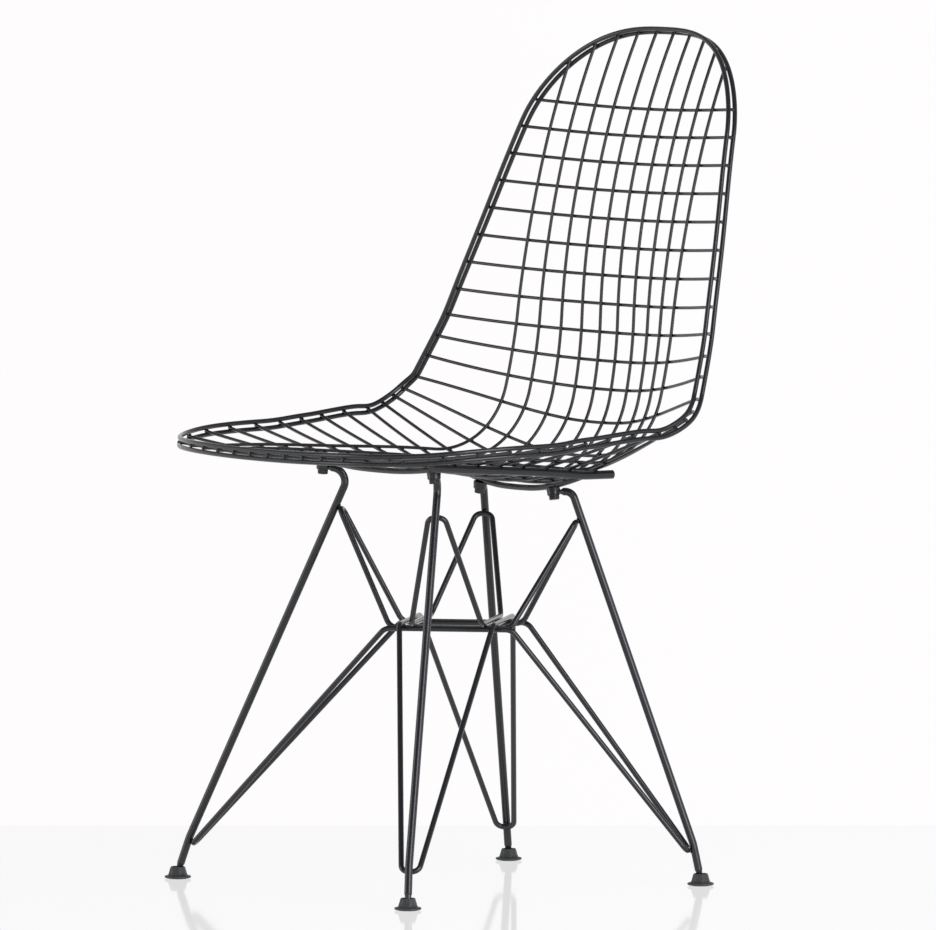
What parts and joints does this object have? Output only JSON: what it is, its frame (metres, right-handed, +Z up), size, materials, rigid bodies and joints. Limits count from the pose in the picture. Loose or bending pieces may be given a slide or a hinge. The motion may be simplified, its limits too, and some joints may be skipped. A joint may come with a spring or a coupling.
{
  "type": "wire mesh chair",
  "caption": "Side chair with a one-piece dished shell of crossed steel wires between double rims, on four leaning rod legs with crossed wire braces and tilting plastic glides.",
  "frame": {"origin": "on the floor, at the middle of the chair's bounding box seen from above", "axes": "+Z up, +X to the sitter's left, -Y to the front"},
  "size_m": [0.4962, 0.4936, 0.829],
  "materials": {
    "black_steel": "satin black powder coat",
    "glide_plastic": "matte dark grey moulded plastic"
  },
  "bodies": {
    "chair_frame": {"ball_studs": "black_steel", "cross_wire_01": "black_steel", "cross_wire_02": "black_steel", "cross_wire_03": "black_steel", "cross_wire_04": "black_steel", "cross_wire_05": "black_steel", "cross_wire_06": "black_steel", "cross_wire_07": "black_steel", "cross_wire_08": "black_steel", "cross_wire_09": "black_steel", "cross_wire_10": "black_steel", "cross_wire_11": "black_steel", "cross_wire_12": "black_steel", "cross_wire_13": "black_steel", "cross_wire_14": "black_steel", "cross_wire_15": "black_steel", "cross_wire_16": "black_steel", "cross_wire_17": "black_steel", "cross_wire_18": "black_steel", "cross_wire_19": "black_steel", "cross_wire_20": "black_steel", "cross_wire_21": "black_steel", "cross_wire_22": "black_steel", "cross_wire_23": "black_steel", "cross_wire_24": "black_steel", "cross_wire_25": "black_steel", "front_cross_bar": "black_steel", "front_left_leg": "black_steel", "front_right_leg": "black_steel", "inner_rim": "black_steel", "left_diagonal_lower_brace": "black_steel", "left_diagonal_upper_brace": "black_steel", "left_seat_rail": "black_steel", "leg_bolts": "black_steel", "lengthwise_wire_01": "black_steel", "lengthwise_wire_02": "black_steel", "lengthwise_wire_03": "black_steel", "lengthwise_wire_04": "black_steel", "lengthwise_wire_05": "black_steel", "lengthwise_wire_06": "black_steel", "lengthwise_wire_07": "black_steel", "lengthwise_wire_08": "black_steel", "lengthwise_wire_09": "black_steel", "lengthwise_wire_10": "black_steel", "mounting_pads": "black_steel", "outer_rim": "black_steel", "rear_cross_bar": "black_steel", "rear_left_leg": "black_steel", "rear_right_leg": "black_steel", "right_diagonal_lower_brace": "black_steel", "right_diagonal_upper_brace": "black_steel", "right_seat_rail": "black_steel"},
    "front_left_glide": {"front_left_glide_socket": "glide_plastic", "front_left_glide_sole": "glide_plastic"},
    "front_right_glide": {"front_right_glide_socket": "glide_plastic", "front_right_glide_sole": "glide_plastic"},
    "rear_left_glide": {"rear_left_glide_socket": "glide_plastic", "rear_left_glide_sole": "glide_plastic"},
    "rear_right_glide": {"rear_right_glide_socket": "glide_plastic", "rear_right_glide_sole": "glide_plastic"}
  },
  "joints": [
    {"name": "front_left_glide_tilt", "type": "hinge", "parent": "chair_frame", "child": "front_left_glide", "pos_m": [0.1947, -0.20668, 0.0064], "axis": [0.713, 0.7012, 0], "range_deg": [-5, 5]},
    {"name": "front_right_glide_tilt", "type": "hinge", "parent": "chair_frame", "child": "front_right_glide", "pos_m": [-0.1947, -0.20668, 0.0064], "axis": [0.713, -0.7012, 0], "range_deg": [-5, 5]},
    {"name": "rear_left_glide_tilt", "type": "hinge", "parent": "chair_frame", "child": "rear_left_glide", "pos_m": [0.1598, 0.16622, 0.0064], "axis": [-0.7275, 0.6861, 0], "range_deg": [-5, 5]},
    {"name": "rear_right_glide_tilt", "type": "hinge", "parent": "chair_frame", "child": "rear_right_glide", "pos_m": [-0.1598, 0.16622, 0.0064], "axis": [-0.7275, -0.6861, 0], "range_deg": [-5, 5]}
  ]
}
